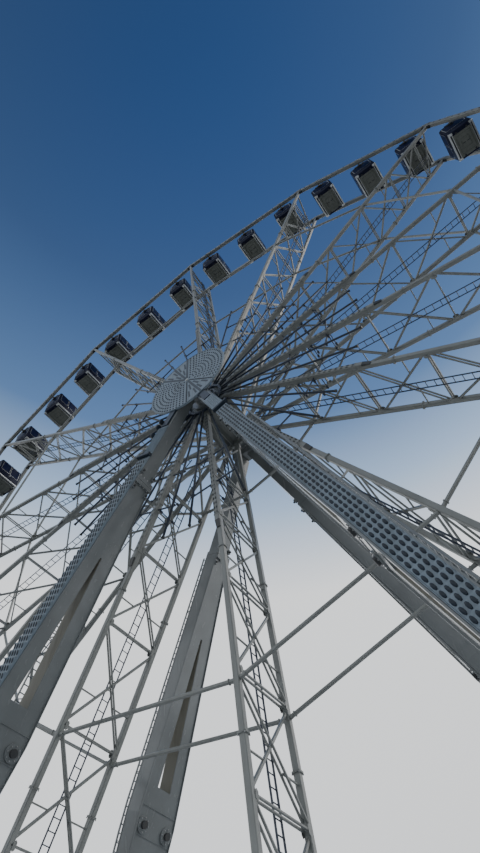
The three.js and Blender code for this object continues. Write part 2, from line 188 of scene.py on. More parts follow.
def outdoor(name, coat, dirt=(0.12, 0.11, 0.09), amount=0.4, roughness=0.5, metallic=0.0, grain=90.0, bump=0.08,
            clear=0.0):
    """A material of the outdoor surface with its own colours; metallic and clear coat are set on the shader."""
    material = bpy.data.materials.new(name)
    material.use_nodes = True
    tree = material.node_tree
    shader = tree.nodes["Principled BSDF"]
    shader.inputs["Metallic"].default_value = metallic
    shader.inputs["Coat Weight"].default_value = clear
    shader.inputs["Coat Roughness"].default_value = 0.12
    surface = added(tree, "Group", {"node_tree": weather},
                    {"Coat": (*coat, 1), "Dirt": (*dirt, 1), "Dirt Amount": amount, "Roughness": roughness,
                     "Grain Scale": grain})
    bumped = added(tree, "Bump", values={"Strength": bump, "Distance": 0.004})
    joined(tree, (surface, "Color", shader, "Base Color"), (surface, "Roughness", shader, "Roughness"),
           (surface, "Height", bumped, "Height"), (bumped, "Normal", shader, "Normal"))
    return material


def dressed(name, *finishes):
    """A CAD node keeps its mesh and takes these materials."""
    kept = nodes[name].data.materials
    kept.clear()
    for finish in finishes:
        kept.append(finish)


base_paint = outdoor("base paint", (0.2, 0.21, 0.215), amount=0.55, roughness=0.6)
bolt_steel = outdoor("galvanised bolts", (0.42, 0.43, 0.44), (0.16, 0.12, 0.09), 0.3, 0.42, metallic=0.85)


def i_beam(width, height, flange=0.018, web=0.013):
    """Twelve corners of an I section, width across and height up."""
    w, h, t = width / 2, height / 2, web / 2
    inner = h - flange
    return np.array([[w, -h], [w, -inner], [t, -inner], [t, inner], [w, inner], [w, h],
                     [-w, h], [-w, inner], [-t, inner], [-t, -inner], [-w, -inner], [-w, -h]])


def blocks(middles, sizes, cut=0.004, finish=0, tilt=None):
    """Boxes with cut edges along X; size is (x, y, z), and tilt gives their own X and Y directions."""
    middles = np.atleast_2d(np.asarray(middles, float))
    x_way, y_way = ((1.0, 0.0, 0.0), (0.0, 1.0, 0.0)) if tilt is None else tilt
    reach = np.asarray(x_way, float) * sizes[0] / 2
    return bars(middles - reach, middles + reach, cut_corners(sizes[1], sizes[2], cut), y_way, finish)


def bolts(middles, way, radius, length, finish=1):
    """Hexagon heads that stand on a face: six-sided bars from each middle along the way."""
    middles = np.atleast_2d(np.asarray(middles, float))
    way = np.broadcast_to(unit(way), middles.shape)
    side = np.where(np.abs(way[:, :1]) > 0.9, [[0.0, 1.0, 0.0]], [[1.0, 0.0, 0.0]])
    return bars(middles - way * 0.002, middles + way * length, round_outline(radius, 6), side, finish)


half_height = BEAM_HEIGHT / 2
signs = np.array([-1.0, 1.0])


def spread(xs, ys, z):
    """Every pairing of the X and Y places, at one height."""
    grid_x, grid_y = np.meshgrid(xs, ys)
    return np.stack([grid_x.ravel(), grid_y.ravel(), np.full(grid_x.size, z)], axis=-1)


beam_reach = np.array([BEAM_END, 0.0, 0.0])
long_beams = spread([0.0], FOOT_Y * signs, half_height)
cross_reach = np.array([0.0, FOOT_Y - 0.01, 0.0])
cross_beams = spread([-FOOT_X, 0.0, FOOT_X], [0.0], half_height)
splices = spread([-3.1, 3.1], FOOT_Y * signs, half_height)
ground = [
    bars(long_beams - beam_reach, long_beams + beam_reach, i_beam(BEAM_WIDTH, BEAM_HEIGHT)),
    bars(cross_beams - cross_reach, cross_beams + cross_reach, i_beam(0.2, 0.17), (1.0, 0.0, 0.0)),
    blocks(spread(np.arange(-6.2, 6.3, 0.62), FOOT_Y * signs, half_height), (0.012, 0.225, 0.165)),
    blocks(splices, (0.03, 0.238, 0.196)),
]
for step in spread([-0.035, 0.035], [-0.07, 0.07], half_height - 0.004):
    ground.append(bolts(splices + step, (0, 0, 1), 0.016, 0.003))
ground_frame = fitted("ground_frame_beams", ground, [base_paint, bolt_steel])
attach(ground_frame, "support")
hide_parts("ground_frame")

# Legs: four box columns welded from plate, two to a side, in satin light grey paint.
# Each is bolted together at a flange below the head, splits into two columns lower down, and stands on a
# foot plate.
HUB = 15.8
HEAD_Y = 1.274
REACH_X, REACH_Y, DROP = 5.96, 1.134, 15.05
LEG_TOP, LEG_FLANGE, LEG_BOTTOM = 0.0347, 0.237, 1.0325
STATIONS = np.array([0.0, 0.19, 0.6, 1.045])
STATION_WIDTH = np.array([0.32, 0.31, 0.335, 0.32])
STATION_DEPTH = np.array([0.27, 0.382, 1.022, 0.48])
SLOT_UPPER = (0.375, 0.568, 0.03, 0.36)
SLOT_LOWER = (0.64, 0.8, 0.36, 0.2)

SLOT_LINING = 0.002
LADDER_TOP, LADDER_STAND, LADDER_EDGE = 0.24, 0.2, 0.2
RUNG_HALF, RUNG_PITCH = 0.1, 0.15

# The leg paint is coloured darker than the real light grey coat: the difference is painted shade of the backlit
# legs.
leg_paint = outdoor("leg paint", (0.205, 0.225, 0.232), (0.15, 0.155, 0.15), amount=0.16, roughness=0.24,
                    grain=140, bump=0.03, clear=0.35)
dark_fittings = outdoor("dark fittings", (0.035, 0.04, 0.045), (0.08, 0.07, 0.06), amount=0.5, roughness=0.5)
slot_primer = outdoor("slot primer", (0.29, 0.285, 0.245), (0.17, 0.15, 0.11), amount=0.3, roughness=0.6,
                      bump=0.03)
leg_finishes = [leg_paint, bolt_steel, dark_fittings, slot_primer]
LEG_DARK, LEG_PRIMER = 2, 3


def leg_place(right, back, at, out, depth):
    """A point of a leg: head + at x reach + out x outward + depth x Y. Outward lies square to the leg in XZ,
    away from the wheel's middle; depth counts towards the rear."""
    at, out, depth = np.broadcast_arrays(*(np.asarray(v, float) for v in (at, out, depth)))
    length = math.hypot(DROP, REACH_X)
    x = right * (REACH_X * at + DROP / length * out)
    y = back * (HEAD_Y + REACH_Y * at) + depth
    z = HUB - DROP * at + REACH_X / length * out
    return np.stack([x, y, z], axis=-1)


def leg_width(at):
    """The leg's width, in straight lines from station to station."""
    return np.interp(at, STATIONS, STATION_WIDTH)


def leg_depth(at):
    """The leg's depth, in straight lines from station to station."""
    return np.interp(at, STATIONS, STATION_DEPTH)


def leg_box(right, back, at, low, high, grow=0.0, cut=0.012, finish=0):
    """A box part of a leg between depths low(at) and high(at): at each share the ring is a rectangle with cut
    corners, as wide as the leg plus grow."""
    at = np.asarray(at, float)
    low, high = np.broadcast_to(low, at.shape), np.broadcast_to(high, at.shape)
    w = leg_width(at) / 2 + grow
    c = np.full(at.shape, cut)
    out = np.stack([w, w, w - c, c - w, -w, -w, c - w, w - c], axis=-1)
    depth = np.stack([low + c, high - c, high, high, high - c, low + c, low, low], axis=-1)
    return skinned(leg_place(right, back, at[:, None], out, depth)[None], finish)


def leg_parts(right, back):
    """All shells of one leg, from the head down to the foot plate."""
    d = leg_depth
    head = LEG_TOP, 0.13, 0.19, LEG_FLANGE
    body = LEG_FLANGE + 0.006, 0.3, SLOT_UPPER[0]
    webs = (SLOT_UPPER[1], 0.6, SLOT_LOWER[0]), (SLOT_LOWER[1], 0.92, LEG_BOTTOM)
    shells = [leg_box(right, back, span, -d(span) / 2, d(span) / 2) for span in (head, body, *webs)]
    for top, bottom, near, far in (SLOT_UPPER, SLOT_LOWER):
        at = np.linspace(top, bottom, 5)
        slot = np.interp(at, [top, bottom], [near, far]) / 2
        shells.append(leg_box(right, back, at, -d(at) / 2, -slot))
        shells.append(leg_box(right, back, at, slot, d(at) / 2))
        for face in signs:
            low, high = face * slot - SLOT_LINING, face * slot + SLOT_LINING
            shells.append(leg_box(right, back, at, low, high, -0.006, 0.001, LEG_PRIMER))
    for shift in (-0.0035, 0.003):
        at = LEG_FLANGE + shift + np.array([0.0, 0.006])
        shells.append(leg_box(right, back, at, -d(at) / 2 - 0.002, d(at) / 2 + 0.04, 0.045, 0.02))
    for edge in (0.59, 0.62, 0.83):
        at = np.array([edge, edge + 0.0012])
        shells.append(leg_box(right, back, at, -d(at) / 2 + 0.01, d(at) / 2 - 0.01, 0.012, 0.01))
    at = np.array([LEG_FLANGE + 0.008, 0.4, 0.6, 0.9])
    for side in signs:
        wall = side * leg_width(at) / 2
        lip = wall + side * 0.028
        for front, rear in ((-d(at) / 2, -d(at) / 2 + 0.014), (d(at) / 2 - 0.014, d(at) / 2)):
            out = np.stack([wall, wall, lip, lip], axis=-1)
            depth = np.stack([front, rear, rear, front], axis=-1)
            shells.append(skinned(leg_place(right, back, at[:, None], out, depth)[None]))
    down = leg_place(right, back, 1.0, 0, 0) - leg_place(right, back, 0.0, 0, 0)
    outward = leg_place(right, back, 0, 1, 0) - leg_place(right, back, 0, 0, 0)
    rows = np.array([-0.38, -0.13, 0.13, 0.38]) * d(LEG_FLANGE)
    for side in signs:
        out = side * (leg_width(LEG_FLANGE) / 2 + 0.024)
        for shift, way, length in ((-0.0035, -down, 0.05), (0.009, down, 0.03)):
            shells.append(bolts(leg_place(right, back, LEG_FLANGE + shift, out, rows), way, 0.013, length))

    def stub(spot, far, outline, finish, soft=False):
        """A short bar from just inside the leg's inner face to far in front of it."""
        return bars(spot + 0.01 * outward, spot - far * outward, outline, (0, 1, 0), finish, soft)

    for at in (LEG_FLANGE - 0.014, LEG_FLANGE + 0.018):
        for edge in (-0.41, 0.41):
            spot = leg_place(right, back, at, -leg_width(at) / 2, edge * d(at))
            shells.append(stub(spot, 0.05, cut_corners(0.075, 0.12, 0.012), 0))
            shells.append(stub(spot, 0.085, round_outline(0.026, 12), LEG_DARK, True))
    ring = round_outline(0.118, 8)
    for at in (0.61, 0.86):
        for edge in (-0.33, 0.33):
            spot = leg_place(right, back, at, -leg_width(at) / 2, edge * d(at))
            shells.append(stub(spot, 0.03, round_outline(0.15, 24), 0, True))
            shells.append(stub(spot, 0.075, round_outline(0.07, 16), LEG_DARK, True))
            studs = spot - 0.03 * outward + ring[:, :1] * [0.0, 1.0, 0.0] + ring[:, 1:] * unit(down)
            shells.append(bolts(studs, -outward, 0.013, 0.012))
    foot = np.array([right * FOOT_X, back * FOOT_Y, 0.2303])
    shells.append(blocks(foot, (0.7, 0.7, 0.06), 0.006))
    shells.append(bolts(foot + spread([-0.29, 0.0, 0.29], [-0.29, 0.29], 0.03), (0, 0, 1), 0.03, 0.035))
    for way in signs:
        for y_step in (-0.15, 0.15):
            lean = leg_place(right, back, [LEG_BOTTOM, 1.012], way * 0.16, y_step)
            toe = foot + [way * 0.33, y_step, 0.03]
            inside = lean - way * 0.02 * outward
            corners = np.array([lean[1], inside[1], inside[0] - [0, 0, 0.02], toe - [way * 0.3, 0, 0], toe])
            shells.append(skinned(np.stack([corners - [0, 0.01, 0], corners + [0, 0.01, 0]])[None]))
    return shells


def leg_ladder(right, back):
    """The ladder that stands out from the outer side, near the column next to the wheel: two rails that follow
    the leg, and a rung every RUNG_PITCH."""

    def spots(at, side, stand=LADDER_STAND):
        """Places on the rail of one side, a stand outside the leg's outer face."""
        middle = -back * (leg_depth(at) / 2 - LADDER_EDGE)
        return leg_place(right, back, at, leg_width(at) / 2 + stand, middle + side * RUNG_HALF)

    rung_at = np.arange(LADDER_TOP + 0.002, 1.0, RUNG_PITCH / math.hypot(DROP, REACH_X))
    tie_at = np.arange(0.26, 1.0, 0.074)
    shells = [bars(spots(rung_at, -1), spots(rung_at, 1), round_outline(0.011, 6), (1, 0, 0))]
    for side in signs:
        rail = spots(np.linspace(LADDER_TOP, 1.0, 25), side)
        shells.append(bars(rail[:-1], rail[1:], cut_corners(0.018, 0.045, 0.003)))
        shells.append(bars(spots(tie_at, side, -0.01), spots(tie_at, side, LADDER_STAND + 0.01),
                           cut_corners(0.03, 0.012, 0.002)))
    return shells


for right, side_name in ((-1, "left"), (1, "right")):
    for back, end_name in ((-1, "front"), (1, "rear")):
        leg = fitted(f"leg_{end_name}_{side_name}_column", leg_parts(right, back), leg_finishes)
        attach(leg, "support")
        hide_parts(f"leg_{end_name}_{side_name}")
        ladder = fitted(f"leg_{end_name}_{side_name}_ladder", leg_ladder(right, back), [leg_paint])
        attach(ladder, "support")

# Axle: the fixed forged shaft with a thrust collar beside each side of the hub, and a welded head block on each
# pair of legs. Steel in leg paint; the head blocks carry bearing caps, ribs and rows of bolts.
HEAD_HALF = (0.42, 0.17)
HEAD_LOW, HEAD_HIGH = -0.52, 0.38

dressed("axle", leg_paint)


def head_block_trim(back):
    """Ribs, cap plates and bolts of one head block, and the lugs that lift it."""
    middle_y = back * HEAD_Y
    face, inner = back * (HEAD_Y + HEAD_HALF[1]), back * (HEAD_Y - HEAD_HALF[1])
    shells = []
    for x, high in ((-0.38, 0.33), (-0.13, -0.33), (0.13, -0.33), (0.38, 0.33)):
        middle = [x, inner - back * 0.015, HUB + (high - 0.47) / 2]
        shells.append(blocks(middle, (0.016, 0.03, high + 0.47), 0.003))
    for x in signs * 0.43:
        for z in (-0.4, -0.12, 0.14):
            shells.append(blocks([x, middle_y, HUB + z], (0.024, 0.28, 0.026)))
    shells.append(blocks([0, middle_y, HUB + HEAD_HIGH + 0.012], (0.88, 0.37, 0.024), 0.006))
    shells.append(blocks([0, middle_y, HUB + HEAD_LOW - 0.01], (0.76, 0.33, 0.02), 0.006))
    centre = np.array([0.0, inner, HUB])
    shells.append(bars(centre + [0, back * 0.01, 0], centre - [0, back * 0.035, 0], round_outline(0.345, 40),
                       (1, 0, 0), soft=True))
    ring = round_outline(0.31, 14, 0.1)
    studs = centre + np.stack([ring[:, 0], np.full(14, -back * 0.035), ring[:, 1]], axis=-1)
    shells.append(bolts(studs, (0, -back, 0), 0.022, 0.022))
    for x in (-0.27, 0.27):
        lug = np.array([x, middle_y, HUB + HEAD_HIGH + 0.085])
        shells.append(bars(lug - [0.012, 0, 0], lug + [0.012, 0, 0], cut_corners(0.16, 0.14, 0.045)))
    grid_x, grid_z = np.meshgrid([-0.36, -0.25, 0.25, 0.36], [-0.44, -0.32, 0.18, 0.3])
    studs = np.stack([grid_x.ravel(), np.full(16, face), HUB + grid_z.ravel()], axis=-1)
    shells.append(bolts(studs, (0, back, 0), 0.02, 0.02))
    return shells


for back, end_name in ((-1, "front"), (1, "rear")):
    trim = fitted(f"head_block_trim_{end_name}", head_block_trim(back), [leg_paint, bolt_steel])
    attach(trim, "support")

# Hub: two fourteen-sided flanges of thick plate on a hollow core, in the wheel's light grey paint.
# A flat side of the flange faces each spoke, which is pinned between two cheek plates.
RIM = 14.0
RING_Y = 0.71
SPOKES = 14
STEP = 2 * math.pi / SPOKES
PHASE = math.radians(-2.9)
HUB_APOTHEM = 0.64

# The wheel paint is coloured darker than the real light grey coat: the difference is painted shade of the
# backlit wheel.
wheel_paint = outdoor("wheel paint", (0.28, 0.295, 0.285), (0.14, 0.13, 0.11), amount=0.15, roughness=0.36,
                      grain=60, bump=0.02)
dressed("hub", wheel_paint)


def on_wheel(angle, radius, y, aside=0.0):
    """A point of the wheel at depth y: hub + radius x (sin, 0, cos) of the angle + aside x (cos, 0, -sin)
    of it."""
    angle, radius, y, aside = np.broadcast_arrays(*(np.asarray(v, float) for v in (angle, radius, y, aside)))
    x = radius * np.sin(angle) + aside * np.cos(angle)
    z = HUB + radius * np.cos(angle) - aside * np.sin(angle)
    return np.stack([x, y, z], axis=-1)


def radial(angle):
    """Unit vectors away from the hub: (sin, 0, cos) of the angle."""
    angle = np.asarray(angle, float)
    return np.stack([np.sin(angle), np.zeros(angle.shape), np.cos(angle)], axis=-1)


def tangent(angle):
    """Unit vectors along the rim: (cos, 0, -sin) of the angle."""
    angle = np.asarray(angle, float)
    return np.stack([np.cos(angle), np.zeros(angle.shape), -np.sin(angle)], axis=-1)


spoke_angles = PHASE + np.arange(SPOKES) * STEP
rib_angles = spoke_angles + STEP / 2
stud_angles = PHASE + (np.arange(2 * SPOKES) + 0.5) * STEP / 2
hub_shells = [bars(on_wheel(rib_angles, 0.39, 0), on_wheel(rib_angles, 0.6, 0),
                   cut_corners(1.36, 0.016, 0.004))]
for side in signs:
    y, inside = side * RING_Y, side * (RING_Y - 0.035)
    near, far = on_wheel(spoke_angles, 0.55, inside), on_wheel(spoke_angles, 0.55, inside - side * 0.04)
    hub_shells.append(bars(near, far, cut_corners(0.12, 0.14, 0.02), radial(spoke_angles)))
    for aside in (-0.068, 0.068):
        near, far = on_wheel(spoke_angles, 0.62, y, aside), on_wheel(spoke_angles, 0.86, y, aside)
        hub_shells.append(bars(near, far, cut_corners(0.1, 0.018, 0.004)))
    near, far = on_wheel(spoke_angles, 0.78, y, -0.095), on_wheel(spoke_angles, 0.78, y, 0.095)
    hub_shells.append(bars(near, far, round_outline(0.026, 12), finish=1, soft=True))
    hub_shells.append(bolts(on_wheel(stud_angles, 0.46, side * (RING_Y + 0.035)), (0, side, 0), 0.018, 0.018))
hub_trim = fitted("hub_ribs_and_pins", hub_shells, [wheel_paint, bolt_steel])
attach(hub_trim, "wheel")

# Wheel sections: seven sectors with two trussed spokes each, bolted to their neighbours at the rims.
# Welded square tube in light grey paint: front and rear chords, doubled struts and diagonals, a ladder and a
# light box with lens rows in each spoke, and box rims with lamps and the cabins' bearings.
CHORD = 0.11
NODES = np.array([0.233, 0.364, 0.494, 0.643, 0.78, 0.917])
OUTER_TIE, INNER_TIE = 0.657, 0.214
CROSS_BARS = (0.205, 0.285)
ROD_LEAN = math.atan(math.tan(STEP / 2) / 3)
BAR_PAIR = 0.037
SPLICES = np.array([0.44, 0.72])
BOX_START, BOX_END = 0.85, 0.385 * RIM
JOINT_SETBACK, REAR_JOINT = 0.14, 0.657
BEARING_BOLTS = np.array([[along, away] for along in (-0.078, 0.078) for away in (-0.056, 0.056)])

lens_dark = outdoor("lamp lenses", (0.018, 0.032, 0.052), (0.03, 0.035, 0.04), amount=0.25, roughness=0.34,
                    bump=0.0)
rim_lamp = outdoor("rim lamp housings", (0.05, 0.055, 0.06), amount=0.2, roughness=0.4, bump=0.02)
rod_paint = outdoor("rod paint", (0.045, 0.062, 0.095), (0.07, 0.07, 0.07), amount=0.2, roughness=0.4,
                    bump=0.02)
wheel_finishes = [wheel_paint, bolt_steel, lens_dark, rim_lamp, rod_paint]
LENS, LAMP, ROD = 2, 3, 4


def domes(middles, across, along, half_across, half_along, height, sides=8, finish=0,
          rows=((1, 0), (0.86, 0.62), (0.45, 0.95))):
    """Low domes on a face: ring k is an ellipse of share s k at height h k, with up = across x along."""
    middles = np.atleast_2d(np.asarray(middles, float))
    across = np.broadcast_to(unit(across), middles.shape)
    along = np.broadcast_to(unit(along), middles.shape)
    up = np.cross(across, along)
    angle = (np.arange(sides) + 0.5) * 2 * math.pi / sides
    u = half_across * np.cos(angle)[:, None] * across[:, None]
    v = half_along * np.sin(angle)[:, None] * along[:, None]
    rings = [middles[:, None] + share * (u + v) + height * lift * up[:, None] for share, lift in rows]
    return skinned(np.stack(rings, axis=1), finish, True)


def spoke_truss(angles):
    """Chords, splices, light boxes, struts, diagonals, gussets and ladder of the spokes at these angles. A
    doubled bar lies BAR_PAIR to each side of the spoke's middle plane; a single one lies in it."""
    out_way, aside_way = radial(angles), tangent(angles)
    node = NODES * RIM
    shells = []

    def sleeve(radius, y, half_length, outline, aside=0.0, finish=0):
        """A sleeve round a bar that runs outwards, half_length to each side of a radius."""
        middle = on_wheel(angles, radius, y, aside)
        return bars(middle - half_length * out_way, middle + half_length * out_way, outline, finish=finish)

    def web_bars(r0, y0, r1, y1, outline, aside=0.0):
        """Bars of the truss, from radius r0 and depth y0 to radius r1 and depth y1."""
        r0, r1, turned = np.broadcast_arrays(r0, r1, angles[:, None])
        starts, ends = (on_wheel(turned, r, y, aside).reshape(-1, 3) for r, y in ((r0, y0), (r1, y1)))
        return bars(starts, ends, outline, np.repeat(out_way, r0.shape[1], axis=0))

    for side in signs:
        y = side * RING_Y
        near, far = on_wheel(angles, HUB_APOTHEM + 0.0003, y), on_wheel(angles, RIM - 0.06, y)
        shells.append(bars(near, far, cut_corners(CHORD, CHORD, 0.012)))
        for radius in SPLICES * RIM:
            for shift in (-0.009, 0.009):
                shells.append(sleeve(radius + shift, y, 0.007, cut_corners(0.15, 0.15, 0.02)))
            for u, v, _ in spread([-0.062, 0.062], [-0.062, 0.062], 0):
                shells.append(bolts(on_wheel(angles, radius + 0.02, y + u, v), out_way, 0.011, 0.014))
    box_y, box = -(RING_Y + CHORD / 2), cut_corners(0.05, 0.12, 0.01)
    start, end = on_wheel(angles, BOX_START, box_y - 0.025), on_wheel(angles, BOX_END, box_y - 0.025)
    tip = on_wheel(angles, 0.4 * RIM, box_y - 0.011)
    shells.append(bars(start, end, box))
    shells.append(bars(end, tip, box, finish=LAMP, end_outline=cut_corners(0.02, 0.1, 0.004)))
    for radius in (1.2, 2.4, 3.8, 5.2):
        shells.append(sleeve(radius, -RING_Y - 0.025, 0.015, cut_corners(0.172, 0.138, 0.014)))
    lens_r = np.arange(1.0, 5.3, 0.16)
    way, left = np.repeat(out_way, len(lens_r), axis=0), np.repeat(-aside_way, len(lens_r), axis=0)
    for aside in (-0.028, 0.028):
        spots = on_wheel(angles[:, None], lens_r, box_y - 0.05, aside).reshape(-1, 3)
        shells.append(domes(spots, left, way, 0.018, 0.045, 0.01, finish=LENS))
    for radius in np.array(CROSS_BARS) * RIM:
        clamp_at = radius * math.tan(STEP / 2 - ROD_LEAN)
        near, far = (on_wheel(angles, radius, -0.728, turn * (clamp_at + 0.045)) for turn in (-1, 1))
        shells.append(bars(near, far, cut_corners(0.034, 0.034, 0.005), finish=ROD))
        for turn in (-1, 1):
            shells.append(sleeve(radius, -0.762, 0.024, cut_corners(0.085, 0.066, 0.014), turn * clamp_at, ROD))
    for share, aside, near, far in ((0.2875, 0.12, 0.72, 0.2), (0.25, 0.1, 0.69, 0.25)):
        for turn in (-1, 1):
            p, q = (on_wheel(angles, share * RIM, -y, turn * aside) for y in (near, far))
            shells.append(bars(p, q, round_outline(0.014, 8), out_way, ROD, True))
            for knob in (p + [0, 0.045, 0], q - [0, 0.045, 0]):
                knob_ends = knob - [0, 0.035, 0], knob + [0, 0.035, 0]
                shells.append(bars(*knob_ends, round_outline(0.034, 8), out_way, ROD, True))
    for aside in (-BAR_PAIR, BAR_PAIR):
        shells.append(web_bars(node, -RING_Y, node, RING_Y, cut_corners(0.036, 0.036, 0.004), aside))
        shells.append(web_bars(node[:-1] + 0.05, -RING_Y, node[1:] - 0.05, RING_Y,
                               cut_corners(0.034, 0.034, 0.004), aside))
    for start_r, start_y, end_r in (
            (node[:-1] + 0.05, RING_Y, node[1:] - 0.05), (node[-1:] + 0.05, RING_Y, 0.975 * RIM),
            (0.9, -RING_Y, node[:1] - 0.05), (0.9, RING_Y, node[:1] - 0.05)):
        shells.append(web_bars(start_r, start_y, end_r, -start_y, cut_corners(0.05, 0.05, 0.006)))
    third = node[:-1] + 2 / 3 * np.diff(node)
    thick = np.repeat(aside_way, len(node), axis=0) * 0.004
    for side in signs:
        shells.append(web_bars(third, side * RING_Y, third, side * RING_Y / 3,
                               cut_corners(0.028, 0.028, 0.003)))
        for aside in (-0.059, 0.059):
            gusset = on_wheel(angles[:, None], node, side * (RING_Y - 0.065), aside).reshape(-1, 3)
            shells.append(bars(gusset - thick, gusset + thick, cut_corners(0.07, 0.16, 0.03)))
    rails = -0.0375, 0.1375
    for y in rails:
        near, far = on_wheel(angles, 1.5, y, 0.085), on_wheel(angles, 13.1, y, 0.085)
        shells.append(bars(near, far, cut_corners(0.016, 0.034, 0.003), finish=ROD))
    rung_r = np.arange(1.58, 13.1, 0.208)
    near, far = (on_wheel(angles[:, None], rung_r, y, 0.085).reshape(-1, 3) for y in rails)
    shells.append(bars(near, far, round_outline(0.0105, 5), (1, 0, 0.01), ROD))
    return shells


def rim_ring(angle, side):
    """Eight corners of the rim's box section at a corner of the polygon; the radial part is stretched by the
    mitre, one over the cosine of half a step."""
    u, v = cut_corners(0.17, 0.14, 0.014).T
    return on_wheel(angle, RIM + u / math.cos(STEP / 2), side * RING_Y + v)


def rim_and_ties(first):
    """Rims, ties, lamps, bearings and node brackets from the joint before spoke first to the one before spoke
    first + 2. The joint is where a rim is parted, as a share of the bay before a spoke."""
    shells = []
    bay = 2 * RIM * math.sin(STEP / 2)
    angles = PHASE + (first + np.arange(2)) * STEP
    for side, joint in ((-1.0, JOINT_SETBACK / bay), (1.0, REAR_JOINT)):
        outward = np.array([0.0, side, 0.0])
        before, here, middle, after = (rim_ring(angles[0] + k * STEP, side) for k in (-1, 0, 1, 2))
        start = here + (before - here) * joint
        end = after + (middle - after) * (joint + 0.0003 / bay)
        shells.append(skinned(np.stack([start, here, middle, end])[None]))
        for near, far in ((here, middle), (middle, after)):
            p, q = near.mean(0), far.mean(0)
            along, length = unit(q - p), np.linalg.norm(q - p)
            away = unit(np.cross([0, 1, 0], along))
            away = away * np.sign(np.dot(away, p - [0, side * RING_Y, HUB]))
            for shift in (0.1, 0.126, length - 0.19, length - 0.164):
                spot = p + along * shift
                shells.append(bars(spot - along * 0.01, spot + along * 0.01, cut_corners(0.156, 0.184, 0.016)))
            lamps = p + np.arange(0.36, length - 0.3, 0.3)[:, None] * along + 0.07 * outward
            lenses = lamps + 0.004 * outward
            shells.append(bars(lamps - 0.004 * outward, lenses, cut_corners(0.08, 0.044, 0.01), along, LAMP))
            shells.append(domes(lenses, along, np.cross(along, -outward), 0.03, 0.015, 0.006, 6, LENS))
            for place in range(3):
                bearing = p + (q - p) * (place + 0.5) / 3 + 0.07 * outward
                face = bearing + 0.006 * outward
                shells.append(bars(bearing - 0.004 * outward, face, cut_corners(0.2, 0.15, 0.03), along))
                shells.append(bars(bearing, bearing + 0.014 * outward, round_outline(0.055, 16), along,
                                   soft=True))
                studs = face + BEARING_BOLTS @ np.array([along, away])
                shells.append(bolts(studs, outward, 0.011, 0.01))
            hem, half = p + along * length / 2 - away * 0.088, along * (length / 2 - 0.24)
            shells.append(bars(hem - half, hem + half, cut_corners(0.05, 0.012, 0.003)))
        for angle in angles:
            for turn in (-1, 1):
                along = unit(rim_ring(angle + turn * STEP, side).mean(0) - rim_ring(angle, side).mean(0))
                spot, half = on_wheel(angle, RIM - 0.105, side * RING_Y) + along * 0.115, along * 0.055
                shells.append(bars(spot - half, spot + half, cut_corners(0.12, 0.07, 0.012), finish=LAMP))
            near, far = (on_wheel(angle, RIM, side * (RING_Y + 0.068), aside) for aside in (-0.13, 0.13))
            shells.append(bars(near, far, cut_corners(0.02, 0.13, 0.004)))
        for tie in (OUTER_TIE,) if side < 0 else (OUTER_TIE, INNER_TIE):
            p, q = (on_wheel(turned, tie * RIM, side * RING_Y) for turned in (angles, angles + STEP))
            along = unit(q - p)
            shells.append(bars(p + along * 0.06, q - along * 0.06, cut_corners(0.064, 0.064, 0.012)))
            for near, way in ((p, along), (q, -along)):
                shells.append(bars(near + way * 0.055, near + way * 0.15, cut_corners(0.03, 0.1, 0.01),
                                   end_outline=cut_corners(0.03, 0.076, 0.006)))
                shells.append(bars(near + way * 0.15, near + way * 0.17, cut_corners(0.085, 0.085, 0.01)))
    return shells


for number in range(7):
    angles = PHASE + (2 * number + np.arange(2)) * STEP
    sector = fitted(f"wheel_sector_{number + 1}", spoke_truss(angles) + rim_and_ties(2 * number),
                    wheel_finishes)
    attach(sector, "wheel")
    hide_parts(f"wheel_section_{number + 1}")

# Light rods: two slim tubes in every bay of the front face, from a ring plate on the hub out to free ends.
# Steel in satin dark blue, clamped to the cross bars that stick out on both sides of each spoke.
ROD_Y = RING_Y + 0.035 + 0.0003 + 0.03

rod_reach = 0.36 * RIM
turns = PHASE + (np.arange(SPOKES) + 0.5) * STEP
rod_angles = np.concatenate([turns - ROD_LEAN, turns + ROD_LEAN])
rod_way = radial(rod_angles)
corner = 1.0 / math.cos(STEP / 2)
section = (0.61, -0.03), (0.61, 0.03), (0.52 * corner, 0.03), (0.52 * corner, -0.03)
loop = np.stack([on_wheel(turns, radius, -ROD_Y + step) for radius, step in section], axis=1)
shells = [skinned(np.concatenate([loop, loop[:1]])[None], capped=False)]
shells.append(bars(on_wheel(rod_angles, 0.56, -ROD_Y), on_wheel(rod_angles, rod_reach, -ROD_Y),
                   round_outline(0.028, 10), soft=True))
for radius in (1.1, rod_reach - 0.02):
    middle = on_wheel(rod_angles, radius, -ROD_Y)
    shells.append(bars(middle - 0.022 * rod_way, middle + 0.022 * rod_way, round_outline(0.037, 8), finish=1))
shells.append(bolts(on_wheel(turns, 0.57, -ROD_Y - 0.03), (0, -1, 0), 0.014, 0.014, 2))
rods = fitted("light_rods_set", shells, [rod_paint, dark_fittings, bolt_steel])
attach(rods, "wheel")
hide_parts("light_rods")

# Front light display: a round panel across the front end of the axle, and a strip of lamps down each front leg.
# Pale blue-grey sheet panels with edge rails of the same sheet and aluminium ribs and boss, set with dark
# lenses.
DISC_R = 1.28
DISC_BACK, DISC_FACE = 1.53, 1.594
DISC_CORE, DISC_SIDES, LENS_PITCH = 0.3, 96, 0.11
STRIP_HALF, ROW_PITCH = 0.155, 0.147

display_panel = outdoor("display panels", (0.26, 0.33, 0.4), (0.12, 0.13, 0.13), amount=0.4, roughness=0.42,
                        grain=70)
display_seam = outdoor("display seams", (0.075, 0.1, 0.13), amount=0.35, roughness=0.5)
aluminium = outdoor("aluminium trim", (0.66, 0.68, 0.68), (0.3, 0.29, 0.26), amount=0.3, roughness=0.34,
                    metallic=0.55)
display_finishes = [display_panel, display_seam, lens_dark, aluminium]
SEAM, TRIM = 1, 3


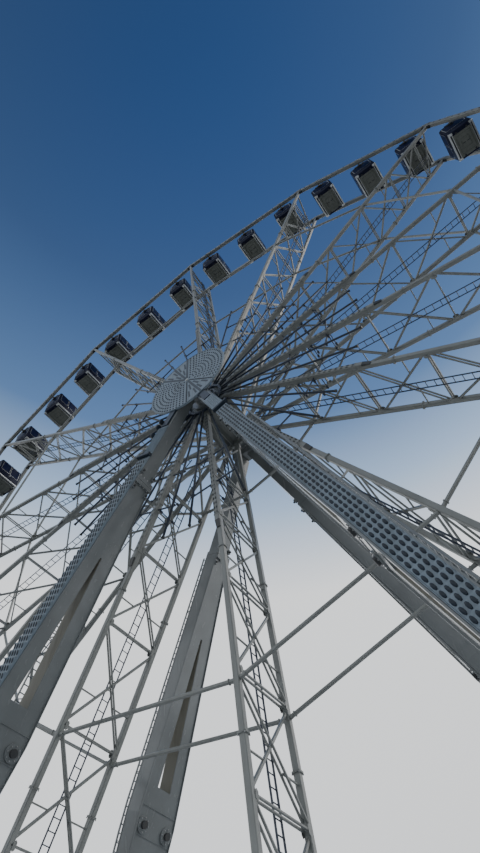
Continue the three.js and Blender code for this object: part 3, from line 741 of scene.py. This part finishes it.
def disc_parts():
    """The round panel: a turned plate with a rolled edge, seam bars, and lenses. Two wide sectors have lenses
    on rings a lens pitch apart, and the four narrow ones between them have three slots each."""
    turns = np.arange(DISC_SIDES) * 2 * math.pi / DISC_SIDES
    profile = [(DISC_CORE, DISC_BACK + 0.003), (DISC_R - 0.008, DISC_BACK + 0.003),
               (DISC_R, DISC_BACK + 0.012), (DISC_R, DISC_FACE - 0.002),
               (DISC_R - 0.004, DISC_FACE + 0.003), (DISC_R - 0.01, DISC_FACE + 0.002),
               (DISC_R - 0.013, DISC_FACE - 0.006), (DISC_CORE, DISC_FACE - 0.006)]

    def at(turn, radius, depth):
        """A point of the panel: the turn is counted from the top, and the depth towards the front."""
        turn, radius, depth = np.broadcast_arrays(*(np.asarray(v, float) for v in (turn, radius, depth)))
        return np.stack([radius * np.sin(turn), -depth, HUB + radius * np.cos(turn)], axis=-1)

    rings = np.stack([at(turns, radius, depth) for radius, depth in profile])
    shells = [skinned(rings[None])]
    way = np.array([0.0, -1.0, 0.0])
    seams = np.radians([0.0, 337.5, 315.0, 157.5, 135.0, 180.0])
    for lines, width in ((seams[:4], 0.07), (seams[4:], 0.04)):
        shells.append(bars(at(lines, 0.12, DISC_FACE - 0.004), at(lines, DISC_R - 0.02, DISC_FACE - 0.004),
                           cut_corners(0.008, width, 0.002), way, SEAM))
    slots = np.radians([326.25, 348.75, 146.25, 168.75])
    for shift, near, far in ((0.0, 0.4, 0.72), (-0.1, 0.8, 1.12), (0.1, 0.76, 1.08)):
        shells.append(bars(at(slots + shift, near, DISC_FACE - 0.004),
                           at(slots + shift, far, DISC_FACE - 0.004),
                           cut_corners(0.01, 0.055, 0.002), way, SEAM))
    ribs = np.radians(np.arange(-157.5, 180, 45))
    shells.append(bars(at(ribs, DISC_CORE, DISC_BACK - 0.012), at(ribs, DISC_R - 0.05, DISC_BACK - 0.012),
                       cut_corners(0.035, 0.05, 0.006), way, TRIM))
    shells.append(domes(at(0, 0, DISC_FACE - 0.006), (1, 0, 0), (0, 0, 1), 0.055, 0.055, 0.03, 16, TRIM))
    dots = at(seams[4:, None], np.arange(0.2, 1.22, 0.078), DISC_FACE - 0.001).reshape(-1, 3)
    shells.append(domes(dots, (1, 0, 0), (0, 0, 1), 0.022, 0.022, 0.01, 8, LENS))
    spots = []
    for ring in range(1, 12):
        turn = np.arange(6 * ring) * math.pi / 3 / ring
        nearest_seam = np.abs((turn[:, None] - seams + math.pi) % (2 * math.pi) - math.pi).min(axis=1)
        gap = nearest_seam * LENS_PITCH * ring
        wide = (turn % math.pi < math.radians(135)) & (gap > 0.06)
        spots.append(at(turn[wide], LENS_PITCH * ring, DISC_FACE - 0.006))
    shells.append(domes(np.concatenate(spots), (1, 0, 0), (0, 0, 1), 0.027, 0.027, 0.014, 10, LENS))
    return shells


def strip_parts(right):
    """The lamp strip of one front leg: a tray that follows the leg's front, a thin rail along each edge, a
    ribbed plate and a dark clamp at the top, and below them a housing with four oval lenses every ROW_PITCH.
    Each lens is a dark oval drawn long enough to hold its own painted shadow as well."""
    length = math.hypot(DROP, REACH_X)
    down = unit(leg_place(right, -1, 1.0, 0, 0) - leg_place(right, -1, 0.0, 0, 0))
    across = unit(leg_place(right, -1, 0.0, 1.0, 0) - leg_place(right, -1, 0.0, 0, 0))

    def proud(at, out, height):
        """A place a height in front of the leg's front face."""
        return leg_place(right, -1, at, out, -leg_depth(at) / 2 - height)

    def tray(at, low, high, near, far, finish=0):
        """A flat body that follows the leg's front, from low to high outwards and from near to far in front."""
        corners = np.array([[low, near], [high, near], [high, far], [low, far]])
        return skinned(proud(at[:, None], corners[:, 0], corners[:, 1])[None], finish)

    def crossbar(at, out, height, half, outline, soft=False):
        """A dark bar that lies across the strip, half to each side of its middle."""
        middle = proud(at, out, height)
        side = (0, 1, 0) if soft else (0, -1, 0)
        return bars(middle - across * half, middle + across * half, outline, side, LENS, soft)

    at = np.array([0.12, 0.19, 0.4, 0.6, 0.78, 0.96])
    shells = [tray(np.array([0.061, 0.118]), -0.1, 0.1, 0.0, 0.045, LENS),
              tray(at, -STRIP_HALF, STRIP_HALF, 0.0003, 0.0303)]
    for side in signs:
        shells.append(tray(at, side * STRIP_HALF, side * (STRIP_HALF + 0.006), 0.0003, 0.0423))
    row = np.arange(0.207, 0.952, ROW_PITCH / length)
    width = STRIP_HALF - 0.006
    rings = []
    for shift, height in ((-0.07, 0.036), (-0.062, 0.078), (0.066, 0.036), (0.0735, 0.03)):
        corners = np.array([[-width, 0.02], [width, 0.02], [width, height], [-width, height]])
        spots = proud(row + shift / length, 0, 0)[:, None]
        rings.append(spots + corners[:, :1] * across + corners[:, 1:] * [0.0, -1.0, 0.0])
    shells.append(skinned(np.stack(rings, axis=1)))
    slope = unit(down + [0.0, 0.042 / 0.128, 0.0])
    # Each dark oval is longer than the lens alone: it is the lens and its own painted shadow together.
    for out in (-0.114, -0.038, 0.038, 0.114):
        shells.append(domes(proud(row, out, 0.0578), across * -right, slope, 0.025, 0.055, 0.01, 8, LENS,
                            ((1, 0), (0.8, 0.75), (0.4, 1.0))))
    for out in (-0.12, -0.06, 0.0, 0.06, 0.12):
        low, high = proud(np.array([0.123, 0.182]), out, 0.036)
        shells.append(bars(low, high, cut_corners(0.03, 0.022, 0.006), (0, -1, 0)))
    shells.append(crossbar(0.191, 0.02, 0.06, 0.21, cut_corners(0.11, 0.09, 0.016)))
    for lamp_at, out in ((0.104, 0.2), (0.118, 0.19), (0.138, 0.2)):
        shells.append(crossbar(lamp_at, out, 0.05, 0.03, round_outline(0.075, 12), True))
    return shells


front = fitted("front_light_display", disc_parts() + strip_parts(-1) + strip_parts(1), display_finishes)
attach(front, "support")
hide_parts("front_display")

# Cabins: 42 closed cabins of moulded panels in satin dark blue, glazed all round, on a pressed floor with two
# aluminium rails. Each hangs by two pins between the rims and stays level.
CABIN_END, CABIN_SIDE, CABIN_FLOOR = 0.53, 0.462, -0.915
CABIN_PROFILE = [(0.378, -0.9), (0.462, -0.78), (0.462, 0.06), (0.33, 0.15)]

cabin_shell = outdoor("cabin shell", (0.018, 0.021, 0.048), (0.04, 0.04, 0.05), amount=0.2, roughness=0.45,
                      bump=0.02)
cabin_glass = outdoor("cabin glass", (0.014, 0.02, 0.066), (0.03, 0.035, 0.07), amount=0.2, roughness=0.3,
                      bump=0.0)
cabin_floor = outdoor("cabin floor", (0.21, 0.225, 0.2), (0.1, 0.1, 0.09), amount=0.4, roughness=0.6)
for moulding in (cabin_shell, cabin_glass):
    moulding.node_tree.nodes["Principled BSDF"].inputs["Specular IOR Level"].default_value = 0.06
cabin_finishes = [cabin_shell, cabin_glass, cabin_floor, aluminium, dark_fittings, bolt_steel]
GLASS, FLOOR, RAIL, DARK, PIN = 1, 2, 3, 4, 5


def rounded(corners, radius, steps=3):
    """A closed outline with its corners rounded: each corner becomes steps + 1 points of the quadratic curve
    from a radius before it to a radius after it."""
    corners = np.asarray(corners, float)
    before, after = np.roll(corners, 1, 0), np.roll(corners, -1, 0)
    start = corners + unit(before - corners) * radius
    end = corners + unit(after - corners) * radius
    t = np.linspace(0, 1, steps + 1)[:, None, None]
    return ((1 - t) ** 2 * start + 2 * t * (1 - t) * corners + t ** 2 * end).transpose(1, 0, 2).reshape(-1, 2)


def cabin_parts():
    """All shells of a cabin about its pivot: rounded hull, glass panes, floor, rails, brackets and pins."""
    half = np.array(CABIN_PROFILE)
    outline = rounded(np.concatenate([half, half[::-1] * [-1, 1]]), 0.055)
    centre = np.array([0.0, -0.375])

    def ring(shape, y):
        """An outline of X and Z set at depth y."""
        return np.stack([shape[:, 0], np.full(len(shape), y), shape[:, 1]], axis=-1)

    def hull(y, inset):
        """The hull's outline at depth y, drawn in towards its middle by the inset."""
        return ring(centre + (outline - centre) * (1 - inset / np.array([CABIN_SIDE, 0.525])), y)

    def panel(shape, near, far, finish, turned=False):
        """An outline carried along Y from near to far, or along X where it is turned."""
        rings = np.stack([ring(shape, near), ring(shape, far)])
        return skinned((rings[..., [1, 0, 2]] if turned else rings)[None], finish)

    stations = ((-0.53, 0.05), (-0.522, 0.022), (-0.495, 0.0), (0.495, 0.0), (0.522, 0.022), (0.53, 0.05))
    shells = [skinned(np.stack([hull(y, inset) for y, inset in stations])[None], 0, True)]
    end_pane = rounded([(-0.36, -0.5), (0.36, -0.5), (0.36, 0.0), (-0.36, 0.0)], 0.05)
    side_pane = rounded([(-0.2, -0.5), (0.2, -0.5), (0.2, 0.0), (-0.2, 0.0)], 0.04)
    cap = rounded([(0.31, -0.905), (0.42, -0.905), (0.465, -0.84), (0.42, -0.84), (0.31, -0.87)], 0.015, 2)
    bracket = rounded([(-0.22, 0.1), (-0.06, -0.09), (0.06, -0.09), (0.22, 0.1), (0.2, 0.14), (-0.2, 0.14)],
                      0.02)
    for side in signs:
        for shift, grow, finish in ((0.0015, 1.06, RAIL), (0.004, 1.0, GLASS)):
            raised = [0, -0.25 * (1 - grow)]
            face, wall = CABIN_END + shift, CABIN_SIDE + shift
            shells.append(panel(end_pane * grow + raised, side * (face - 0.012), side * face, finish))
            for y in (-0.235, 0.235):
                shape = side_pane * grow + raised + [y, 0]
                shells.append(panel(shape, side * (wall - 0.012), side * wall, finish, True))
        for x, y, z, size, cut, finish in (
                (0.463, 0, -0.36, (0.006, 0.016, 0.86), 0.002, DARK),
                (0.464, 0.06, -0.56, (0.012, 0.02, 0.14), 0.003, RAIL),
                (0.352, 0, -0.906, (0.018, 0.92, 0.022), 0.004, RAIL),
                (0.436, 0, -0.866, (0.05, 1.0, 0.05), 0.014, RAIL)):
            shells.append(blocks([side * x, y, z], size, cut, finish))
        gutter = (1, 0, side * 0.5), (0, 1, 0)
        shells.append(blocks([side * 0.392, 0, -0.875], (0.05, 0.98, 0.03), 0.004, DARK, gutter))
        for end in signs:
            shells.append(panel(cap * [side, 1], end * 0.44, end * 0.515, RAIL))
            foot = np.array([side * 0.2, end * 0.42, -0.9])
            shells.append(bars(foot, foot - [0, 0, 0.03], round_outline(0.035, 10), (1, 0, 0), DARK, True))
        for near, far, section, finish in ((0.52, 0.6395, round_outline(0.04, 14), PIN),
                                                  (0.53, 0.575, round_outline(0.085, 16), DARK)):
            shells.append(bars([0, side * near, 0], [0, side * far, 0], section, (1, 0, 0), finish, True))
        shells.append(panel(bracket, side * 0.52, side * 0.548, DARK))
    shells.append(blocks([0, 0.03, -0.908], (0.67, 0.84, 0.02), 0.004, FLOOR))
    for width, length in ((0.52, 0.66), (0.3, 0.36)):
        ends = spread([0], [0.02 - length / 2, 0.02 + length / 2], CABIN_FLOOR)
        sides = spread([-width / 2, width / 2], [0.02], CABIN_FLOOR)
        shells.append(blocks(ends, (width, 0.014, 0.006), 0.002, DARK))
        shells.append(blocks(sides, (0.014, length, 0.006), 0.002, DARK))
    shells.append(blocks(spread([-0.08, 0.08], [0.02], CABIN_FLOOR - 0.001), (0.1, 0.03, 0.008), 0.003, DARK))
    shells.append(blocks([0, 0, 0.155], (0.5, 0.8, 0.03), 0.012, 0))
    shells.append(blocks(spread([0], [-0.3, 0.0, 0.3], 0.172), (0.46, 0.03, 0.016), 0.005, DARK))
    return shells


cabin_model = cabin_parts()
bay_starts = on_wheel(spoke_angles, RIM, 0.0)
bay_ends = on_wheel(spoke_angles + STEP, RIM, 0.0)
pivots = np.concatenate([bay_starts + (bay_ends - bay_starts) * (place + 0.5) / 3 for place in range(3)])
pivots = pivots.reshape(3, SPOKES, 3).transpose(1, 0, 2).reshape(-1, 3)
for number, pivot in enumerate(pivots, 1):
    moved = [(points + pivot, faces, finish) for points, faces, finish in cabin_model]
    cabin = fitted(f"cabin_{number:02d}_body", moved, cabin_finishes)
    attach(cabin, f"cabin_{number:02d}")
    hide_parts(f"cabin_{number:02d}")

# Studio: a plain pale floor, plain soft light from above and both sides, and the camera low in front of the
# wheel, looking up past the hub.
floor_paint = outdoor("pale floor", (0.72, 0.72, 0.7), (0.6, 0.6, 0.58), amount=0.2, roughness=0.8)
floor = fitted("studio_floor", [blocks([0, 0, -0.051], (44, 32, 0.1), 0.01)], [floor_paint])

world = bpy.data.worlds.new("soft studio")
world.use_nodes = True
sky = world.node_tree
background = sky.nodes["Background"]
place = added(sky, "TexCoord")
parts = added(sky, "SeparateXYZ")
height = added(sky, "ValToRGB")
brightness = added(sky, "MapRange", {"interpolation_type": "SMOOTHSTEP"},
                   {"From Min": -0.5, "From Max": 0.4, "To Min": 0.85, "To Max": 1.5})
stops = height.color_ramp.elements
stops[0].position, stops[0].color = 0.0, (0.05, 0.055, 0.06, 1)
stops[1].position, stops[1].color = 1.0, (0.022, 0.06, 0.17, 1)
for position, colour in ((0.02, (0.7, 0.72, 0.74, 1)), (0.66, (0.78, 0.8, 0.82, 1)),
                         (0.76, (0.3, 0.42, 0.6, 1)), (0.84, (0.085, 0.16, 0.32, 1)),
                         (0.94, (0.038, 0.08, 0.19, 1))):
    stops.new(position).color = colour
joined(sky, (place, "Generated", parts, "Vector"), (parts, "Z", height, "Fac"),
       (parts, "Y", brightness, "Value"),
       (height, "Color", background, "Color"), (brightness, "Result", background, "Strength"))
bpy.context.scene.world = world
for name, energy, spread, turn, colour in (
        ("key", 0.7, 25, (52, 0, 128), (1.0, 0.93, 0.84)),
        ("fill", 0.3, 60, (40, 0, -40), (0.9, 0.95, 1.0))):
    lamp = bpy.data.lights.new(name, "SUN")
    lamp.energy = energy
    lamp.angle = math.radians(spread)
    lamp.color = colour
    holder = bpy.data.objects.new(name, lamp)
    holder.rotation_euler = [math.radians(v) for v in turn]
    bpy.context.scene.collection.objects.link(holder)

FOCAL_PIXELS, PICTURE_HEIGHT = 597.1, 853
view = bpy.data.cameras.new("photo view")
view.sensor_fit = "VERTICAL"
view.sensor_height = 24
view.lens = FOCAL_PIXELS / PICTURE_HEIGHT * view.sensor_height
view.clip_end = 500
camera = bpy.data.objects.new("photo view", view)
bpy.context.scene.collection.objects.link(camera)
camera.location = (5.0566, -7.5803, 0.8833)
camera.rotation_euler = [math.radians(v) for v in (147.7697, 3.4859, 35.9121)]
bpy.context.scene.camera = camera
